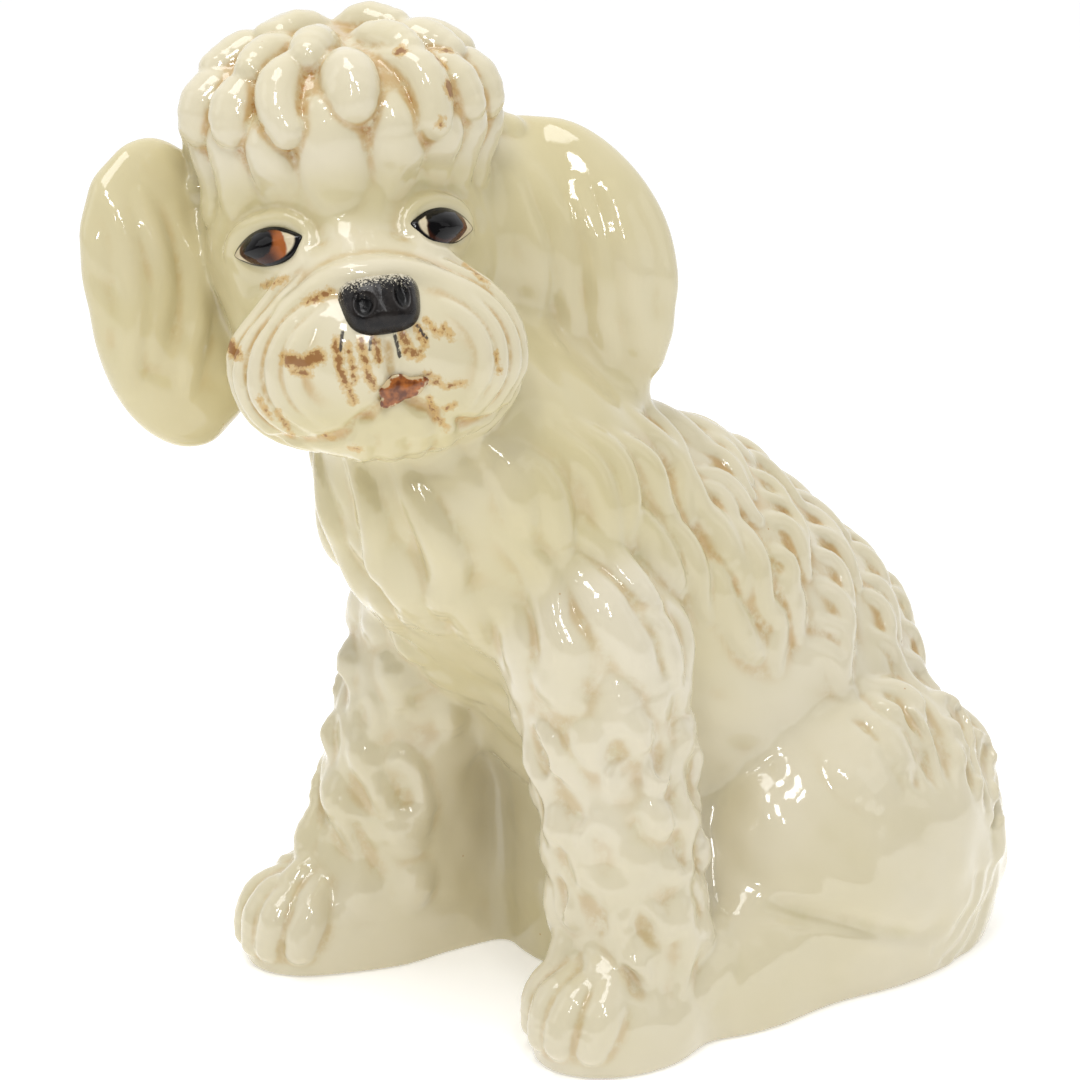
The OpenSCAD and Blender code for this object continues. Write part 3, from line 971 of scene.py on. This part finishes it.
def glaze():
    """Ivory glaze, thick and greenish where it pools, over a tan wash that stays in the grooves, and
    creamier where painted shade falls on the head, chest, chin and haunches.
    """
    s = Shader("ivory_glaze")
    hollow, washed = s.attribute("cavity"), s.attribute("wash")
    broad, patchy, fine = s.noise(70, 2), s.noise(16, 3), s.noise(2.2, 3, 0.6)
    # share of cream: the glaze's own tint plus painted shade, with a broad random variation
    tint_and_shade_share = s.math("ADD", s.attribute("tint_and_painted_shade"), s.rise(broad, 0.3, 0.7, 0.3))
    colour = s.mix(tint_and_shade_share, IVORY, CREAM)
    pooled = s.math("MULTIPLY", s.rise(hollow, -0.4, 2.6), s.rise(patchy, 0.3, 0.7, 0.75))
    colour = s.mix(pooled, colour, POOL)
    stained = s.math("MULTIPLY", s.rise(hollow, 0.15, 1.2), washed)
    stained = s.math("MULTIPLY", stained, s.rise(s.noise(9, 4, 0.6), 0.3, 0.58, 0.85))
    colour = s.mix(stained, colour, TAN)
    deep = s.math("MULTIPLY", s.rise(hollow, 1.1, 2.2), s.rise(washed, 0.4, 1.0))
    deep = s.math("MULTIPLY", deep, s.rise(fine, 0.42, 0.66, 0.7))
    colour = s.mix(deep, colour, BROWN)
    colour = s.mix(s.math("MULTIPLY", s.dots(16, 0.6, 0.3), 0.6), colour, BROWN)
    ragged = s.math("MULTIPLY", s.math("SUBTRACT", fine, 0.5), 5.0)
    edge = s.math("ADD", s.attribute("brown"), ragged)
    colour = s.mix(s.rise(edge, 1.4, -0.6, 0.8), colour, GOLD)
    colour = s.mix(s.rise(s.math("ADD", edge, s.math("MULTIPLY", s.noise(2.6, 3), 3.4)), 1.5, 0.3, 0.8),
                   colour, UMBER)
    line = s.math("ADD", s.attribute("ink"), s.math("MULTIPLY", ragged, 0.15))
    colour = s.mix(s.rise(line, 0.35, -0.1, 0.9), colour, INK)
    s.bump(s.noise(7, 2), 0.10)
    worn = s.rise(edge, 0.6, -0.6, 0.35)
    return s.finish(colour, s.math("ADD", worn, 0.08), coat=0.25)


def eye_paint(name, iris_at, iris, pupil, shade):
    """Cream eyeball, brown iris, black pupil and a black line round the edge."""
    s = Shader(name)
    across, up, rim = s.attribute("across"), s.attribute("up"), s.attribute("rim")
    wobble = s.math("MULTIPLY", s.math("SUBTRACT", s.noise(3, 2), 0.5), 0.8)

    def reach(x, z):
        dx, dz = s.math("SUBTRACT", across, x), s.math("SUBTRACT", up, z)
        far = s.math("SQRT", s.math("ADD", s.math("MULTIPLY", dx, dx), s.math("MULTIPLY", dz, dz)))
        return s.math("ADD", far, wobble)

    colour = s.mix(s.noise(4, 3), linear(228, 218, 192), linear(186, 168, 134))
    ring = reach(*iris_at)
    rust = s.mix(s.rise(s.math("ADD", across, wobble), iris_at[0] + 2, iris_at[0] + 6.5),
                 linear(58, 26, 12), shade)
    colour = s.mix(s.rise(ring, iris + 0.3, iris - 0.4), colour, rust)
    colour = s.mix(s.rise(reach(iris_at[0] - 1.0, iris_at[1] + 0.9), pupil + 0.6, pupil - 0.5),
                   colour, linear(3, 2, 3))
    outline = s.math("ADD", rim, s.math("MULTIPLY", wobble, 0.06))
    outline = s.math("ADD", outline, s.rise(up, -2, 3, 0.07))       # thicker above
    colour = s.mix(s.rise(outline, 0.87, 0.93),
                   colour, linear(16, 14, 16))
    return s.finish(colour, 0.03, specular=0.25)


def nose_paint():
    """Black sponged glaze, greyer in front, that breaks into specks along its upper edge, with painted
    shade in the nostrils.
    """
    s = Shader("nose_paint")
    across, up = s.attribute("across"), s.attribute("up")
    grain = s.noise(0.9, 3, 0.7)
    front = s.rise(up, 5.0, 2.0)
    colour = s.mix(s.math("MULTIPLY", front, s.rise(s.noise(6, 3), 0.3, 0.6)),
                   linear(12, 10, 11), linear(32, 28, 26))
    # painted shade: the nostril hollows darkened below the nose's black
    for x, z, wide, tall in NOSTRILS:
        dx = s.math("DIVIDE", s.math("SUBTRACT", across, x), wide)
        dz = s.math("DIVIDE", s.math("SUBTRACT", up, z), tall)
        far = s.math("ADD", s.math("MULTIPLY", dx, dx), s.math("MULTIPLY", dz, dz))
        colour = s.mix(s.rise(far, 1.1, 0.6), colour, linear(6, 5, 6))
    high = s.math("ADD", up, s.math("MULTIPLY", s.math("SUBTRACT", grain, 0.5), 24.0))
    colour = s.mix(s.rise(high, 4.2, 7.4, 0.85), colour, IVORY)
    s.bump(grain, 0.12)
    return s.finish(colour, 0.12, specular=0.25)


def lip_paint():
    """Red-brown brushed paint, worn through to the glaze at its edge."""
    s = Shader("lip_paint")
    blotch = s.noise(3.5, 2, 0.5)
    colour = s.mix(s.rise(blotch, 0.3, 0.7), linear(96, 46, 12), linear(170, 100, 44))
    ragged = s.math("ADD", s.attribute("rim"), s.math("MULTIPLY", s.math("SUBTRACT", blotch, 0.5), 1.4))
    colour = s.mix(s.rise(ragged, 0.86, 1.0, 0.7), colour, CREAM)
    s.bump(blotch, 0.15)
    return s.finish(colour, 0.12, coat=0.2)


def bare_clay():
    s = Shader("bare_clay")
    colour = s.mix(s.noise(14, 4), linear(222, 208, 182), linear(204, 186, 154))
    colour = s.mix(s.math("MULTIPLY", s.dots(9, 0.7, 0.4), 0.7), colour, BROWN)
    s.bump(s.noise(1.2, 4, 0.7), 0.25)
    return s.finish(colour, 0.85)


glazed = glaze()
for name in names:
    shell(name, glazed)


def almond(side):
    """Edge of an eye: pointed corners, the outer one a little lower."""
    def edge(a):
        c, h = cos(a), sin(a)
        lift = math.copysign(abs(h) ** 1.3, h) * EYE_HALF_H - 1.5 * c * side
        return c * EYE_HALF_W * (1.03 + 0.04 * side + 0.13 * c ** 6), lift - 1.2 * side * c ** 7
    return edge


for side, node, iris_at, pupil, iris, shade in (
        (1, "left_eye", (-0.4, 0.6), 7.0, 8.4, linear(84, 36, 14)),
        (-1, "right_eye", (-0.6, 0.4), 5.6, 8.3, linear(158, 90, 46))):
    patch(node + "_painted", node,
          eye_paint(node + "_paint", iris_at, iris, pupil, shade),
          (side * EYE_X, EYE_Z), almond(side),
          lambda u, v, r: 4.6 * (1 - r ** 2) + 0.4, 24, 72)


def nose_edge(a):
    """Rounded trapezoid, wider at the top."""
    c, h = cos(a), sin(a)
    rounder = (abs(c) ** 3.2 + abs(h) ** 3.2) ** (-1 / 3.2)
    return c * rounder * (15.0 + 1.8 * h), h * rounder * 10.5


NOSTRILS = ((-6.4, -2.2, 3.0, 3.0), (7.0, -0.6, 2.6, 3.8))     # place, half width, half height


def nose_dome(u, v, r):
    lift = 7.5 * (1 - r ** 4) + 0.3 + 0.9 * math.exp(-(u / 2.2) ** 2) * (1 - r)
    for x, z, wide, tall in NOSTRILS:
        lift -= 2.6 * math.exp(-(((u - x) / wide) ** 2 + ((v - z) / tall) ** 2) ** 2)
    return lift


patch("nose_painted", "nose", nose_paint(), (2, -20), nose_edge, nose_dome, 40, 96)


def lips_edge(a):
    """Uneven edge of the brushed lips."""
    r = 1 + 0.16 * cos(3 * a + 0.4) + 0.10 * sin(5 * a)
    return 9.4 * r * cos(a), 5.2 * r * sin(a) + 1.6 * cos(a)


patch("lips_painted", "lips", lip_paint(), (5, -52), lips_edge,
      lambda u, v, r: 1.3 * (1 - r * r) + 0.1, 16, 48)

plate = frame["nodes"]["base_plate"]
plate.data.materials.clear()
plate.data.materials.append(bare_clay())


# ---- floor, lights, camera

FLOOR_HALF, FLOOR_Z = 6.0, -0.0005      # metres
corners = [(x * FLOOR_HALF, y * FLOOR_HALF, FLOOR_Z) for x, y in ((-1, -1), (1, -1), (1, 1), (-1, 1))]
floor_mesh = bpy.data.meshes.new("floor")
floor_mesh.from_pydata(corners, [], [(0, 1, 2, 3)])
paper = Shader("white_paper")
paper.surface.inputs["Emission Color"].default_value = (1, 1, 1, 1)
paper.surface.inputs["Emission Strength"].default_value = 0.3
floor_mesh.materials.append(paper.finish(linear(250, 250, 250), 0.9))
floor = bpy.data.objects.new("floor", floor_mesh)
bpy.context.scene.collection.objects.link(floor)

CAMERA_AZIMUTH, CAMERA_ELEVATION, CAMERA_DISTANCE = 47, 15.4, 1.3       # degrees, metres
TARGET = np.array([0, -0.039, 0.194])                                   # metres
SENSOR, LENS = 36, 101.8


def seen_from(azimuth, elevation, distance):
    """A place seen from the target that way. Azimuth 0 is in front of the dog's body."""
    a, e = radians(azimuth), radians(elevation)
    way = np.array([sin(a) * cos(e), -cos(a) * cos(e), sin(e)])
    return Vector(TARGET + way * distance)


def aim(thing, at):
    """Puts a light or the camera there, turned to the target."""
    thing.location = at
    thing.rotation_euler = (Vector(TARGET) - at).to_track_quat("-Z", "Y").to_euler()


def softbox(name, azimuth, elevation, distance, width, height, power):
    data = bpy.data.lights.new(name, "AREA")
    data.shape, data.size, data.size_y, data.energy = "RECTANGLE", width, height, power
    lamp = bpy.data.objects.new(name, data)
    bpy.context.scene.collection.objects.link(lamp)
    aim(lamp, seen_from(azimuth, elevation, distance))


# azimuth, elevation, distance, width and height in metres, watts
softbox("overhead", 0, 76, 2.2, 1.0, 1.0, 15)
softbox("window_left", -35, 30, 2.2, 0.8, 1.4, 3)
softbox("window_right", 125, 25, 2.2, 0.8, 1.4, 2)
softbox("strobe_left", 33, 54, 1.9, 0.24, 0.32, 4.4)
softbox("strobe_right", 56, 42, 1.9, 0.24, 0.32, 4.2)
softbox("flash_left", 30, 31, 1.9, 0.09, 0.12, 1.1)
softbox("flash_right", 63, 33, 1.9, 0.09, 0.12, 1.1)

FRONT_LIGHT = 0.24      # brightness of the world on the camera's side


def studio_world():
    """White studio: bright behind the figure and overhead, dimmer on the camera's side."""
    world = bpy.data.worlds.new("studio")
    bpy.context.scene.world = world
    world.use_nodes = True
    tree = world.node_tree
    where = tree.nodes.new("ShaderNodeTexCoord").outputs["Generated"]

    def brightness(way, lo, hi, top):
        dot = tree.nodes.new("ShaderNodeVectorMath")
        dot.operation = "DOT_PRODUCT"
        tree.links.new(where, dot.inputs[0])
        dot.inputs[1].default_value = way
        ramp = tree.nodes.new("ShaderNodeMapRange")
        ramp.interpolation_type = "SMOOTHSTEP"
        tree.links.new(dot.outputs["Value"], ramp.inputs[0])
        for socket, number in zip(list(ramp.inputs)[1:5], (lo, hi, 0.0, top)):
            socket.default_value = number
        return ramp.outputs[0]

    a = radians(CAMERA_AZIMUTH)
    parts = [brightness((-sin(a), cos(a), 0), -0.2, 0.75, 0.74),
             brightness((0, 0, 1), 0.35, 1.0, 0.45)]
    total = FRONT_LIGHT
    for part in parts:
        add = tree.nodes.new("ShaderNodeMath")
        tree.links.new(part, add.inputs[0])
        if isinstance(total, float):
            add.inputs[1].default_value = total
        else:
            tree.links.new(total, add.inputs[1])
        total = add.outputs[0]
    tree.links.new(total, tree.nodes["Background"].inputs["Strength"])
    tree.nodes["Background"].inputs["Color"].default_value = (1, 1, 1, 1)


studio_world()
bpy.context.scene.view_settings.view_transform = "Standard"

camera_data = bpy.data.cameras.new("camera")
camera_data.sensor_width, camera_data.lens = SENSOR, LENS
camera = bpy.data.objects.new("camera", camera_data)
bpy.context.scene.collection.objects.link(camera)
aim(camera, seen_from(CAMERA_AZIMUTH, CAMERA_ELEVATION, CAMERA_DISTANCE))
bpy.context.scene.camera = camera
